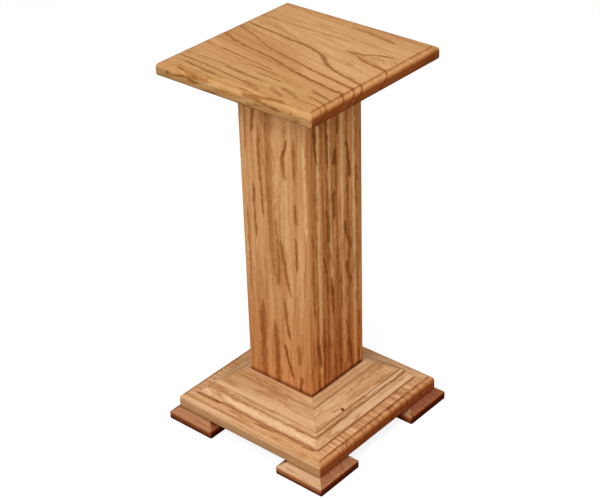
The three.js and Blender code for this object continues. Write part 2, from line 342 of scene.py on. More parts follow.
def log_place(along, across, through, pith, drift=(0.0, 0.0), bend=0.0, seed=0.0, face=0.0):
    """The log's axis runs along the board, at pith = (across, through) where along is 0.

    drift is the axis's slope across and through the board there, and bend how the second one grows.
    face is where the board's shown face lies on the third axis.
    """
    return {
        "along": Vector(along),
        "across": Vector(across),
        "through": Vector(through),
        "pith": pith,
        "drift": drift,
        "bend": bend,
        "face": face,
        "seed": seed,
    }


def lay_grain(mesh, log):
    """Writes each point's place in the log and in the board, and the way the fibres run."""
    in_log = mesh.attributes.new("grain", "FLOAT_VECTOR", "POINT")
    in_board = mesh.attributes.new("board", "FLOAT_VECTOR", "POINT")
    fibres = mesh.attributes.new("along", "FLOAT_VECTOR", "POINT")
    for vertex in mesh.vertices:
        place = vertex.co / MM
        along = place.dot(log["along"])
        across = place.dot(log["across"])
        through = place.dot(log["through"])
        pith_across = log["pith"][0] + log["drift"][0] * along
        pith_through = log["pith"][1] + (log["drift"][1] + log["bend"] * along) * along
        from_pith = (across - pith_across, through - pith_through)
        in_log.data[vertex.index].vector = (along + log["seed"], *from_pith)
        in_board.data[vertex.index].vector = (along, across, log["face"] - through)
        fibres.data[vertex.index].vector = log["along"]


# ---- Shader helpers ----


def new_material(name):
    """An empty material, and its node tree."""
    material = bpy.data.materials.new(name)
    material.use_nodes = True
    material.node_tree.nodes.clear()
    return material, material.node_tree


def add(tree, kind, inputs=None, **settings):
    """Adds a node. An input that is a socket is linked, and any other is set on the socket."""
    node = tree.nodes.new(kind)
    for name, value in settings.items():
        setattr(node, name, value)
    for name, value in (inputs or {}).items():
        if isinstance(value, bpy.types.NodeSocket):
            tree.links.new(value, node.inputs[name])
        else:
            node.inputs[name].default_value = value
    return node


def calculate(tree, operation, *values):
    inputs = dict(enumerate(values))
    return add(tree, "ShaderNodeMath", inputs, operation=operation).outputs[0]


def multiply(tree, first, second):
    return calculate(tree, "MULTIPLY", first, second)


def ramp(tree, value, low, high, to_low=0.0, to_high=1.0):
    """Smooth change from to_low at low to to_high at high."""
    inputs = {"Value": value, "From Min": low, "From Max": high, "To Min": to_low, "To Max": to_high}
    return add(tree, "ShaderNodeMapRange", inputs, interpolation_type="SMOOTHSTEP").outputs[0]


def stretch(tree, value, to_low, to_high):
    """Spreads a noise, which mostly stays between 0.2 and 0.8, from to_low to to_high."""
    return ramp(tree, value, 0.2, 0.8, to_low, to_high)


def noise(tree, place, grain_size, detail=2.0, roughness=0.5):
    """Noise whose grain has a length of its own, in millimetres, along each axis."""
    scaled = add(tree, "ShaderNodeVectorMath", {0: place, 1: grain_size}, operation="DIVIDE")
    inputs = {"Vector": scaled.outputs[0], "Scale": 1.0, "Detail": detail, "Roughness": roughness}
    return add(tree, "ShaderNodeTexNoise", inputs).outputs[0]


def blend(tree, factor, first, second, mode="MIX"):
    node = add(tree, "ShaderNodeMix", {0: factor, 6: first, 7: second}, data_type="RGBA", blend_type=mode)
    return node.outputs[2]


def srgb(red, green, blue):
    """A colour as a screen shows it, 0 to 255, turned into the linear one that a shader takes."""
    linear = []
    for value in (red, green, blue):
        part = value / 255
        linear.append(part / 12.92 if part <= 0.04045 else ((part + 0.055) / 1.055) ** 2.4)
    return (*linear, 1.0)


def darken_with_rim(tree, shade, ground, core, rim):
    """Darkens towards the core colour, with a warm rim that spreads further than the core."""
    spread = calculate(tree, "POWER", shade, 0.5)
    return blend(tree, shade, blend(tree, spread, ground, rim, "MULTIPLY"), core)


def place_on_piece(tree):
    """The place in the piece's own axes, in millimetres."""
    position = add(tree, "ShaderNodeTexCoord").outputs["Object"]
    return add(tree, "ShaderNodeVectorMath", {0: position, 1: (MM, MM, MM)}, operation="DIVIDE").outputs[0]


def finish_surface(tree, colour, roughness, relief, strength, height, sheen=None):
    """Ends a material with one bumped surface. strength and height are the bump's."""
    bump = {"Strength": strength, "Distance": height, "Height": relief}
    normal = add(tree, "ShaderNodeBump", bump).outputs[0]
    inputs = {"Base Color": colour, "Roughness": roughness, "Normal": normal, **(sheen or {})}
    surface = add(tree, "ShaderNodeBsdfPrincipled", inputs).outputs[0]
    add(tree, "ShaderNodeOutputMaterial", {"Surface": surface})


# ---- Oak ----

ARC_RADIUS = 100.0
BOW_SIZE = (260, 120, 120)
RIPPLE = 0.5
RIPPLE_SIZE = (26, 9, 9)
DASH_SIZE = (22, 1.6, 5)
PATCH_SIZE = (170, 45, 45)
FINE_SIZE = (60, 0.9, 6)
CLOUD_SIZE = (240, 60, 60)
FIBRE_SIZE = (24, 0.6, 0.6)
PORE_SIZE = (7, 0.35, 0.35)
PORE_DEPTH = 0.55

WAVER = 1.1
WAVER_SIZE = (16, 6, 6)
RAGGED_SIZE = (12, 4, 4)
BREAK_SIZE = (9, 1.5, 1.5)
TAPER = 8.0
MARK_CORE = 0.15
MARK_RIM = 1.15
LEAST_RIM = 0.05

# Painted shade: the size of the patches in the band of shade low down, and the band's height.
SHADE_PATCH_SIZE = (9, 9, 9)
SHADE_BAND_HEIGHT = 9.0 * MM
STEP_SIZE = (12, 14, 12)
STEP_DEPTHS = (1.2, 2.4)
# Painted shade: between these heights the column grows darker and redder towards its foot.
LOW_SHADE_HEIGHTS = (120.0 * MM, 340.0 * MM)
CREVICE_REACH = 7.0 * MM
CREVICE_SAMPLES = 6

RIM = srgb(236, 209, 163)
# Painted shade along the small step above a routed round.
STEP_SHADE_COLOUR = srgb(178, 128, 80)
# The feet's end grain is darkened: partly its own darker colour, partly painted shade on the side away
# from the light.
FOOT_TURNED = srgb(198, 161, 144)
# Painted shade on the feet's faces that don't look up.
FOOT_SIDE_SHADE = srgb(222, 178, 138)
TOP_TURNED = srgb(252, 245, 238)
END_GRAIN = srgb(232, 190, 150)
# Painted shade on end grain that faces downwards.
END_GRAIN_SHADE_BELOW = srgb(186, 116, 66)
# Painted shade: the darker, redder tint low on the column.
LOW_SHADE_COLOUR = srgb(240, 214, 194)
# Painted shade: the dark core and the warm rim of the shade in crevices and low bands.
SHADE_CORE = srgb(60, 21, 7)
SHADE_RIM = srgb(216, 166, 126)

OAK_ROUGHNESS = (0.42, 0.58)
OAK_BUMP = 0.12 * MM
OAK_SHEEN = {"Specular IOR Level": 0.14, "Coat Weight": 0.03, "Coat Roughness": 0.35}


@dataclass
class Figure:
    """What the grain of one board looks like. Lengths are in millimetres.

    A mark is (half its width, its depth, and two or more places of its course). The band of painted
    shade, low down, is (low, high, depth), with its heights in metres. turned tints faces that slant
    across the fibres, and the side tint paints shade on those that don't look up.
    """

    light: tuple
    mid: tuple
    line: tuple
    ring_start: float = 0.0
    ring_spacing: float = 8.0
    ring_power: float = 1.0
    ring_shift: float = 0.0
    wander: float = 2.0
    line_depth: float = 0.7
    line_width: float = 0.36
    dashes: float = 0.6
    flame_depth: float = 0.5
    flame_size: tuple = (50.0, 3.0, 9.0)
    flame_level: float = 0.56
    streak_size: tuple = (380.0, 2.6, 8.0)
    streak_contrast: float = 0.7
    fine_depth: float = 0.3
    end_line_fade: float = 0.7
    crevice_depth: float = 0.4
    # Painted shade in a band low down: (low, high, depth).
    grime: tuple = ()
    # Painted shade along the step of a routed edge.
    step_line: float = 0.0
    # Painted shade: how much darker and redder the board grows low down.
    low_shade: float = 0.0
    pale: tuple = ()
    marks: tuple = ()
    pale_marks: tuple = ()
    mark_lean: float = 0.0
    turned: tuple = srgb(242, 226, 208)
    # Painted shade on faces that don't look up.
    side_shade: tuple = ()


def mark_shade(tree, along, across, ragged, mark):
    """How strongly a mark shows: its depth on its middle line, 0 beside it and past its pointed ends."""
    half, depth, *course = mark
    start, end = course[0][0], course[-1][0]
    low = min(side for _, side in course) - 1.0
    high = max(side for _, side in course) + 1.0
    way = add(tree, "ShaderNodeMapRange", {"Value": along, "From Min": start, "From Max": end}).outputs[0]
    path = add(tree, "ShaderNodeFloatCurve", {"Value": way})
    stops = [((place - start) / (end - start), (side - low) / (high - low)) for place, side in course]
    points = path.mapping.curves[0].points
    points[0].location = stops[0]
    points[1].location = stops[-1]
    for stop in stops[1:-1]:
        points.new(*stop)
    path.mapping.update()
    inputs = {"Value": path.outputs[0], "To Min": low, "To Max": high}
    middle = add(tree, "ShaderNodeMapRange", inputs).outputs[0]
    beside = calculate(tree, "ABSOLUTE", calculate(tree, "SUBTRACT", across, middle))
    from_ends = multiply(tree, way, calculate(tree, "SUBTRACT", 1.0, way))
    taper = calculate(tree, "MINIMUM", multiply(tree, from_ends, TAPER), 1.0)
    reach = multiply(tree, multiply(tree, taper, ragged), half)
    core = multiply(tree, reach, MARK_CORE)
    rim = calculate(tree, "ADD", multiply(tree, reach, MARK_RIM), LEAST_RIM)
    return ramp(tree, beside, core, rim, depth, 0.0)


def strongest(tree, along, across, ragged, marks):
    shade = 0.0
    for mark in marks:
        shade = calculate(tree, "MAXIMUM", shade, mark_shade(tree, along, across, ragged, mark))
    return shade


def fibre_tilt(tree):
    """How squarely the face cuts across the fibres: 0 along them, 1 across them."""
    facing = add(tree, "ShaderNodeNewGeometry").outputs["Normal"]
    lengthwise = add(tree, "ShaderNodeAttribute", attribute_name="along").outputs["Vector"]
    across_fibres = add(tree, "ShaderNodeVectorMath", {0: facing, 1: lengthwise}, operation="DOT_PRODUCT")
    return calculate(tree, "ABSOLUTE", across_fibres.outputs["Value"])


def early_wood(tree, figure, radius):
    """The early wood of each year's ring, from 0 to 1, and a strength drawn anew for each year."""
    grown = calculate(tree, "MAXIMUM", calculate(tree, "SUBTRACT", radius, figure.ring_start), 0.0)
    count = calculate(tree, "DIVIDE", grown, figure.ring_spacing)
    count = calculate(tree, "POWER", count, figure.ring_power)
    count = calculate(tree, "ADD", count, figure.ring_shift)
    year = calculate(tree, "FLOOR", count)
    season = calculate(tree, "SUBTRACT", count, year)
    vigour = add(tree, "ShaderNodeTexWhiteNoise", {"W": year}, noise_dimensions="1D").outputs["Value"]
    fading = calculate(tree, "POWER", ramp(tree, season, 0.0, figure.line_width, 1.0, 0.0), 2.5)
    early = calculate(tree, "MAXIMUM", fading, ramp(tree, season, 0.95, 1.0))
    return early, ramp(tree, vigour, 0.0, 1.0, 0.35, 1.0)


def tinted_and_shaded(tree, figure, tilt, cut_across, height, colour):
    """Tints by how the face lies: across the fibres; painted shade on end grain turned down, on sides, low
    down.
    """
    facing = add(tree, "ShaderNodeNewGeometry").outputs["Normal"]
    upward = add(tree, "ShaderNodeSeparateXYZ", {0: facing}).outputs[2]
    colour = blend(tree, ramp(tree, tilt, 0.1, 0.5), colour, figure.turned, "MULTIPLY")
    colour = blend(tree, cut_across, colour, END_GRAIN, "MULTIPLY")
    # Painted shade: end grain that turns down is darkened.
    shade_below = multiply(tree, cut_across, ramp(tree, upward, -0.7, 0.6, 1.0, 0.0))
    colour = blend(tree, shade_below, colour, END_GRAIN_SHADE_BELOW, "MULTIPLY")
    # Painted shade: faces that don't look up are darkened.
    if figure.side_shade:
        colour = blend(tree, ramp(tree, upward, 0.1, 0.7, 1.0, 0.0), colour, figure.side_shade, "MULTIPLY")
    # Painted shade: darker and redder low down.
    if figure.low_shade:
        low = ramp(tree, height, *LOW_SHADE_HEIGHTS, figure.low_shade, 0.0)
        colour = blend(tree, low, colour, LOW_SHADE_COLOUR, "MULTIPLY")
    return colour


def add_painted_shade(tree, figure, place, height, colour):
    """Painted shade, darker in the crevices and, where the figure asks for it, in a band low down."""
    crevice = add(tree, "ShaderNodeAmbientOcclusion", {"Distance": CREVICE_REACH}, samples=CREVICE_SAMPLES)
    shade_amount = ramp(tree, crevice.outputs["AO"], 0.3, 0.85, figure.crevice_depth, 0.0)
    if figure.grime:
        low, high, depth = figure.grime
        patchy = ramp(tree, noise(tree, place, SHADE_PATCH_SIZE), 0.3, 0.6, 0.6, 1.0)
        band = multiply(tree, ramp(tree, height, low, high, depth, 0.0), patchy)
        shade_amount = calculate(tree, "MAXIMUM", shade_amount, band)
    return darken_with_rim(tree, shade_amount, colour, SHADE_CORE, SHADE_RIM)


def step_lined(tree, figure, place, depth, tilt, colour):
    """Painted shade: a darker, broken line along the small step above a routed round."""
    patchy = ramp(tree, noise(tree, place, STEP_SIZE), 0.35, 0.6, 0.35, 1.0)
    shade = multiply(tree, patchy, ramp(tree, depth, *STEP_DEPTHS, figure.step_line, 0.0))
    shade = multiply(tree, shade, ramp(tree, depth, 0.1, 0.8))
    shade = multiply(tree, shade, ramp(tree, tilt, 0.0, 0.15, 0.2, 1.0))
    return blend(tree, shade, colour, STEP_SHADE_COLOUR, "MULTIPLY")


def oak(name, tones, **grain):
    """Oak as solid wood: growth rings round the log's axis, flames, streaks, pores, marks and painted
    shade.

    tones are its light, middle and line colours, and grain is the rest of its Figure.
    """
    figure = Figure(*tones, **grain)
    material, tree = new_material(name)
    place = add(tree, "ShaderNodeAttribute", attribute_name="grain").outputs["Vector"]
    along, across, through = add(tree, "ShaderNodeSeparateXYZ", {0: place}).outputs
    in_board = add(tree, "ShaderNodeAttribute", attribute_name="board").outputs["Vector"]
    board_along, board_across, board_depth = add(tree, "ShaderNodeSeparateXYZ", {0: in_board}).outputs
    position = add(tree, "ShaderNodeNewGeometry").outputs["Position"]
    height = add(tree, "ShaderNodeSeparateXYZ", {0: position}).outputs[2]

    squares = calculate(tree, "ADD", multiply(tree, across, across), multiply(tree, through, through))
    from_pith = calculate(tree, "SQRT", squares)
    bow = stretch(tree, noise(tree, place, BOW_SIZE, 1.0), -figure.wander, figure.wander)
    ripple = stretch(tree, noise(tree, place, RIPPLE_SIZE), -RIPPLE, RIPPLE)
    radius = calculate(tree, "ADD", from_pith, calculate(tree, "ADD", bow, ripple))
    around = multiply(tree, calculate(tree, "ARCTAN2", across, through), ARC_RADIUS)
    rolled = add(tree, "ShaderNodeCombineXYZ", {0: along, 1: radius, 2: around}).outputs[0]

    early, vigour = early_wood(tree, figure, radius)
    dash = ramp(tree, noise(tree, rolled, DASH_SIZE), 0.42, 0.6, 1.0 - figure.dashes, 1.0)
    lines = multiply(tree, multiply(tree, early, dash), vigour)
    tilt = fibre_tilt(tree)
    cut_across = ramp(tree, tilt, 0.6, 1.0)
    end_fade = multiply(tree, cut_across, figure.end_line_fade)
    lines = multiply(tree, lines, calculate(tree, "SUBTRACT", 1.0, end_fade))

    flames = noise(tree, rolled, figure.flame_size, 1.5)
    flames = ramp(tree, flames, figure.flame_level, figure.flame_level + 0.1)
    patches = ramp(tree, noise(tree, place, PATCH_SIZE, 1.0), 0.38, 0.6, 0.1, figure.flame_depth)
    flames = multiply(tree, flames, patches)

    fine = ramp(tree, noise(tree, rolled, FINE_SIZE), 0.4, 0.68, 0.0, figure.fine_depth)
    streak = noise(tree, rolled, figure.streak_size, 3.0)
    spread = 0.28 - 0.2 * figure.streak_contrast
    cloud = noise(tree, place, CLOUD_SIZE)
    fibre = noise(tree, place, FIBRE_SIZE)
    pores = calculate(tree, "ADD", noise(tree, place, PORE_SIZE, 1.0), multiply(tree, early, 0.1))
    pores = multiply(tree, ramp(tree, pores, 0.64, 0.7), PORE_DEPTH)

    waver = stretch(tree, noise(tree, place, WAVER_SIZE), -WAVER, WAVER)
    lean = multiply(tree, board_depth, figure.mark_lean)
    board_across = calculate(tree, "ADD", calculate(tree, "ADD", board_across, waver), lean)
    ragged = ramp(tree, noise(tree, place, RAGGED_SIZE), 0.3, 0.7, 0.6, 1.3)

    colour = blend(tree, ramp(tree, streak, 0.5 - spread, 0.5 + spread), figure.light, figure.mid)
    colour = blend(tree, ramp(tree, cloud, 0.4, 0.7, 0.0, 0.4), colour, figure.mid)
    if figure.pale_marks:
        shade = strongest(tree, board_along, board_across, ragged, figure.pale_marks)
        colour = blend(tree, shade, colour, figure.pale)
    colour = blend(tree, fine, colour, figure.line)
    colour = darken_with_rim(tree, flames, colour, figure.line, RIM)
    colour = darken_with_rim(tree, multiply(tree, lines, figure.line_depth), colour, figure.line, RIM)
    if figure.marks:
        shade = strongest(tree, board_along, board_across, ragged, figure.marks)
        broken = ramp(tree, noise(tree, place, BREAK_SIZE), 0.35, 0.6, 0.6, 1.0)
        colour = darken_with_rim(tree, multiply(tree, shade, broken), colour, figure.line, RIM)
    colour = blend(tree, pores, colour, figure.line)
    colour = blend(tree, ramp(tree, fibre, 0.35, 0.65, 0.0, 0.12), colour, figure.light)
    colour = tinted_and_shaded(tree, figure, tilt, cut_across, height, colour)
    # Painted shade in the crevices and in a band low down.
    colour = add_painted_shade(tree, figure, place, height, colour)
    # Painted shade along the step of a routed edge.
    if figure.step_line:
        colour = step_lined(tree, figure, place, board_depth, tilt, colour)

    relief = calculate(tree, "ADD", multiply(tree, pores, -1.0), multiply(tree, lines, -0.5))
    finish_surface(tree, colour, stretch(tree, fibre, *OAK_ROUGHNESS), relief, 0.5, OAK_BUMP, OAK_SHEEN)
    return material


TOP_TONES = (srgb(209, 162, 112), srgb(193, 143, 91), srgb(116, 60, 8))
TOP_FRONT_TONES = (srgb(201, 156, 104), srgb(183, 133, 80), srgb(112, 58, 8))
COLUMN_TONES = (srgb(243, 187, 130), srgb(220, 158, 100), srgb(126, 60, 12))
COLUMN_SIDE_TONES = (srgb(245, 175, 108), srgb(214, 142, 79), srgb(106, 44, 4))
BASE_TONES = (srgb(222, 178, 133), srgb(196, 146, 98), srgb(140, 82, 36))
BASE_SIDE_TONES = (srgb(230, 187, 143), srgb(204, 153, 105), srgb(140, 82, 36))
PLATE_TONES = (srgb(230, 186, 140), srgb(208, 154, 104), srgb(128, 62, 20))
FOOT_TONES = (srgb(221, 181, 141), srgb(199, 153, 112), srgb(138, 80, 44))
RED_FOOT_TONES = (srgb(204, 153, 114), srgb(179, 124, 86), srgb(108, 50, 26))

# The marks are laid out one by one. A course runs in X and Y on the top and the plate, in height and
# sideways on the column, and sideways and outwards from the middle on the mouldings.
WIDE_BOARD_MARKS = (
    (2.6, 0.45, (-175, 83), (-60, 81), (45, 80)),
    (
        3.8, 0.81, (-200, 50), (-138, 46), (-92, 40), (-52, 34), (-12, 30), (20, 21),
        (52, 0), (104, -22), (200, -38),
    ),
    (7.3, 0.71, (28, 20), (44, 8), (58, -4), (72, -12)),
    (3.4, 0.71, (-200, 42), (-138, 26), (-104, 14), (-72, 0), (-36, -13), (8, -23), (88, -40), (200, -56)),
    (
        4.4, 0.82, (-200, 6), (-138, -8), (-120, -16), (-92, -24), (-24, -36), (48, -56),
        (88, -64), (200, -80),
    ),
    (8.1, 0.54, (-170, -3), (-140, -8), (-118, -16)),
    (2.9, 0.67, (-200, -46), (-136, -50), (-80, -57), (-40, -62), (10, -67)),
    (3.2, 0.76, (46, 50), (76, 53), (96, 62), (112, 68), (136, 69)),
    (3.0, 0.76, (48, 50), (76, 46), (88, 38), (108, 33), (136, 29), (190, 24)),
    (6.1, 0.45, (0, 125), (40, 125), (64, 120), (100, 114)),
    (2.5, 0.45, (-60, -78), (10, -76), (60, -81)),
    (26.0, 0.20, (-300, 152), (-60, 150), (60, 146), (300, 150)),
    (60.0, 0.17, (-400, 20), (-150, 0), (60, -60)),
    (34.0, 0.12, (-300, -70), (0, -86), (300, -96)),
)
FRONT_BOARD_MARKS = (
    (1.9, 0.48, (-150, -93), (-100, -93), (-40, -95)),
    (2.8, 0.68, (-62, -98), (-20, -103), (30, -108)),
    (2.6, 0.56, (-160, -107), (-76, -113), (-20, -121), (16, -125)),
    (3.0, 0.68, (-130, -121), (-88, -126), (-24, -135)),
    (6.7, 0.35, (-4, -122), (20, -128), (42, -135)),
    (6.0, 0.44, (58, -108), (80, -113), (104, -125)),
    (6.0, 0.32, (42, -114), (60, -121), (82, -132)),
    (3.7, 0.65, (96, -86), (120, -93), (146, -101)),
    (3.0, 0.60, (104, -104), (128, -110), (160, -116)),
    (2.3, 0.48, (96, -124), (130, -124), (170, -126)),
    (2.3, 0.48, (-10, -88), (20, -90), (50, -93)),
    (2.8, 0.68, (10, -149), (56, -145), (100, -142)),
    (2.4, 0.56, (-120, -142), (-60, -147), (-10, -150)),
)
COLUMN_FRONT_MARKS = (
    (5.8, 0.83, (590, -35), (568, -38), (543, -43)),
    (4.1, 0.62, (562, -26), (500, -28), (450, -25), (396, -24)),
    (11.8, 0.47, (640, -7), (500, -8), (400, -7), (340, -4), (280, 0)),
    (2.5, 0.72, (640, -13), (540, -12), (478, -11)),
    (4.1, 0.87, (552, 30), (532, 25), (514, 17)),
    (6.7, 0.51, (522, 19), (500, 21), (478, 24)),
    (2.9, 0.72, (560, 43), (520, 43), (480, 43)),
    (4.1, 0.72, (446, 43), (428, 43), (406, 44)),
    (4.1, 0.62, (386, 42), (356, 43), (322, 43)),
    (3.4, 0.72, (458, -41), (410, -41), (356, -40)),
    (4.7, 0.57, (410, 2), (360, 3), (320, 5), (280, 0)),
    (4.7, 0.62, (374, 10), (330, 17), (300, 22), (268, 30)),
    (4.1, 0.72, (264, 13), (235, 17), (208, 20), (182, 25)),
    (8.2, 0.60, (246, -30), (200, -34), (150, -34), (60, -31)),
    (8.4, 0.62, (214, -8), (150, -5), (60, -3)),
    (4.7, 0.87, (176, 11), (150, 17), (130, 24), (108, 30)),
    (5.8, 0.51, (186, 41), (165, 42), (142, 43)),
    (5.0, 0.83, (124, 47), (105, 45), (86, 43)),
    (2.6, 0.51, (420, -57), (330, -56), (240, -57)),
    (2.6, 0.47, (620, -54), (560, -55), (500, -56)),
)
COLUMN_FRONT_PALE = (
    (14.0, 0.55, (500, 20), (430, 20), (350, 22)),
    (1.6, 0.7, (600, -17), (480, -17), (380, -16), (290, -14)),
    (4.2, 0.97, (560, 62), (480, 63), (380, 64)),
    (9.0, 0.4, (300, -5), (240, 3), (170, 2)),
    (3.0, 0.5, (640, 50), (600, 52), (560, 54)),
)
COLUMN_SIDE_MARKS = (
    (4.9, 0.85, (620, -49), (545, -47), (508, -44)),
    (3.4, 0.43, (520, -47), (400, -48), (250, -47), (120, -48)),
    (4.2, 0.85, (620, -21), (535, -19), (490, -17)),
    (3.6, 0.52, (500, -20), (430, -20), (380, -21), (300, -23), (200, -22), (80, -22)),
    (3.4, 0.43, (640, -31), (500, -31), (400, -30), (300, -31), (80, -31)),
    (6.5, 0.92, (524, 2), (508, 0), (492, -2)),
    (4.7, 0.76, (620, 6), (562, 7), (540, 7)),
    (3.9, 0.47, (560, 4), (450, 3), (300, 5), (200, 7), (80, 8)),
    (3.6, 0.62, (620, -34), (562, -33), (546, -32)),
    (4.9, 0.85, (530, 27), (490, 33), (452, 38)),
    (3.9, 0.52, (640, 30), (560, 29), (500, 30), (420, 31), (330, 33), (200, 32), (80, 33)),
    (5.2, 0.81, (452, -4), (425, -3), (396, -3)),
    (5.7, 0.71, (430, -21), (395, -19), (360, -16)),
    (6.0, 0.76, (386, 22), (355, 30), (326, 38)),
    (6.5, 0.76, (344, -31), (325, -27), (306, -23)),
    (6.2, 0.76, (310, 25), (285, 31), (262, 37)),
    (4.2, 0.66, (300, -12), (260, -10), (220, -8)),
    (4.2, 0.62, (290, 11), (260, 12), (226, 12)),
    (6.0, 0.81, (190, -48), (162, -45), (136, -42)),
    (7.0, 0.81, (160, 29), (135, 34), (102, 37)),
    (4.4, 0.66, (200, 24), (170, 30), (144, 34)),
    (3.9, 0.57, (480, 52), (430, 52), (396, 53)),
    (3.4, 0.43, (400, 55), (300, 54), (200, 55), (80, 56)),
    (11.7, 0.28, (400, -25), (250, -26), (80, -25)),
    (11.7, 0.28, (330, 6), (220, 8), (80, 8)),
    (3.9, 0.47, (360, -55), (300, -56), (230, -54)),
    (4.4, 0.70, (230, -33), (150, -32), (78, -33)),
    (5.0, 0.72, (150, -5), (110, -4), (74, -4)),
    (4.0, 0.75, (210, 9), (140, 9), (74, 10)),
    (4.6, 0.85, (130, 35), (100, 38), (74, 38)),
    (4.4, 0.80, (130, -46), (100, -47), (74, -47)),
    (3.6, 0.60, (130, 56), (100, 56), (74, 56)),
)
COLUMN_SIDE_PALE = (
    (4.3, 0.95, (640, -39), (450, -40), (300, -40), (90, -40)),
    (4.7, 0.89, (640, -12), (500, -13), (425, -11)),
    (4.5, 0.79, (440, -11), (380, -12), (330, -10), (270, -10)),
    (4.7, 0.95, (640, 17), (480, 17), (320, 18)),
    (4.7, 0.89, (640, 44), (480, 46), (350, 46), (90, 47)),
    (5.3, 0.63, (330, 17), (220, 18), (110, 21)),
    (3.2, 0.53, (250, -14), (180, -14), (100, -13)),
)

MOULDING_FRONT_MARKS = (
    (6.0, 0.23, (-34, 97), (0, 91), (34, 87)),
    (2.6, 0.39, (-12, 88), (10, 87), (32, 89)),
    (2.2, 0.35, (-36, 97), (-20, 95), (0, 92)),
    (1.8, 0.35, (14, 93), (28, 94), (44, 95)),
    (1.6, 0.27, (28, 95), (60, 99), (104, 97)),
    (1.8, 0.35, (-68, 85), (-45, 85), (-20, 86)),
    (4.5, 0.23, (-114, 104), (-92, 102), (-66, 103)),
    # The next four lines, from 114.5 to 119.5 out, are painted shade along the bead and its quirk.
    (1.3, 0.51, (-54, 114.5), (-10, 115), (34, 114.6)),
    (1.3, 0.43, (-76, 119), (-52, 119.5), (-26, 119)),
    (1.1, 0.47, (54, 119.5), (90, 119), (128, 119)),
    (2.6, 0.39, (-128, 115), (-108, 115.5), (-84, 115)),
)
# Painted light: a pale band along the front moulding's cove.
MOULDING_FRONT_COVE_LIGHT = (
    (6.0, 0.75, (-300, 124), (0, 124), (300, 124)),
)
MOULDING_SIDE_MARKS = (
    (1.3, 0.44, (6, 93.5), (40, 92.5), (70, 91.5), (106, 91)),
    (2.2, 0.31, (-104, 95), (-88, 94), (-68, 93)),
    (1.8, 0.34, (-16, 94), (-4, 94), (8, 93.5)),
    (2.0, 0.41, (-62, 103), (-46, 106.5), (-34, 110)),
    (3.8, 0.24, (-22, 103), (8, 105), (40, 106)),
    (2.6, 0.27, (42, 108), (70, 109), (98, 109)),
    # Painted shade along the quirk between bead and cove.
    (1.2, 0.51, (-220, 118.6), (-60, 118.2), (60, 118.2), (220, 118.6)),
    (1.4, 0.27, (-100, 88), (-50, 89), (0, 88)),
)
PLATE_MARKS = (
    # The next seven marks, just outside the front moulding and along the step, are painted shade.
    (2.4, 0.75, (-140, -132), (-112, -132), (-80, -131)),
    (3.2, 0.40, (-56, -136), (-40, -135), (-24, -136)),
    (3.4, 0.55, (-2, -136), (20, -135), (48, -132)),
    (2.2, 0.40, (38, -131.5), (60, -131.5), (80, -132)),
    (2.2, 0.50, (74, -132.5), (84, -132), (96, -132.5)),
    (3.0, 0.90, (98, -136), (110, -133.5), (125, -131)),
    (1.4, 0.45, (-90, -146), (-40, -145), (10, -147)),
    (2.7, 0.32, (116, -104), (140, -107), (166, -104)),
    (2.4, 0.26, (116, -95), (140, -97), (166, -93)),
    (2.7, 0.30, (116, -84), (140, -86), (166, -82)),
    (2.4, 0.26, (116, -74), (140, -77), (166, -73)),
    (3.4, 0.32, (116, -62), (140, -66), (166, -60)),
    (4.4, 0.37, (116, -38), (140, -42), (166, -36)),
    (2.7, 0.26, (116, -30), (140, -33), (166, -28)),
    (3.4, 0.32, (116, -16), (140, -19), (166, -14)),
    (4.1, 0.32, (116, 1), (140, -3), (166, 3)),
    (3.1, 0.30, (116, 13), (140, 10), (166, 15)),
    (6.5, 0.39, (118, 33), (138, 31), (162, 36)),
    (3.1, 0.26, (116, 45), (140, 42), (166, 47)),
    (4.4, 0.35, (116, 62), (140, 59), (166, 64)),
    (3.1, 0.30, (116, 77), (140, 74), (166, 79)),
    (3.7, 0.35, (116, 93), (140, 90), (166, 96)),
    (3.1, 0.30, (116, 112), (140, 109), (166, 114)),
)

# The top boards carry painted shade in their crevices and along the step of their routed edge.
TOP_GRAIN = {"crevice_depth": 0.75, "step_line": 0.4, "turned": TOP_TURNED}
# The column's boards carry painted shade low down.
COLUMN_GRAIN = {"ring_spacing": 9.0, "dashes": 0.9, "fine_depth": 0.06, "low_shade": 0.9}
MOULDING_GRAIN = {
    "ring_spacing": 8.0,
    "dashes": 0.95,
    "line_depth": 0.4,
    "flame_depth": 0.35,
    "flame_level": 0.62,
    "streak_size": (260, 4, 10),
    "fine_depth": 0.12,
}
FOOT_GRAIN = {
    "ring_spacing": 6.0,
    "dashes": 0.9,
    "line_depth": 0.4,
    "fine_depth": 0.12,
    # Painted shade: the feet darken in a band just above the floor.
    "grime": (0.0, SHADE_BAND_HEIGHT, 0.85),
    # Painted shade on the feet's faces that don't look up.
    "side_shade": FOOT_SIDE_SHADE,
    "turned": FOOT_TURNED,
}

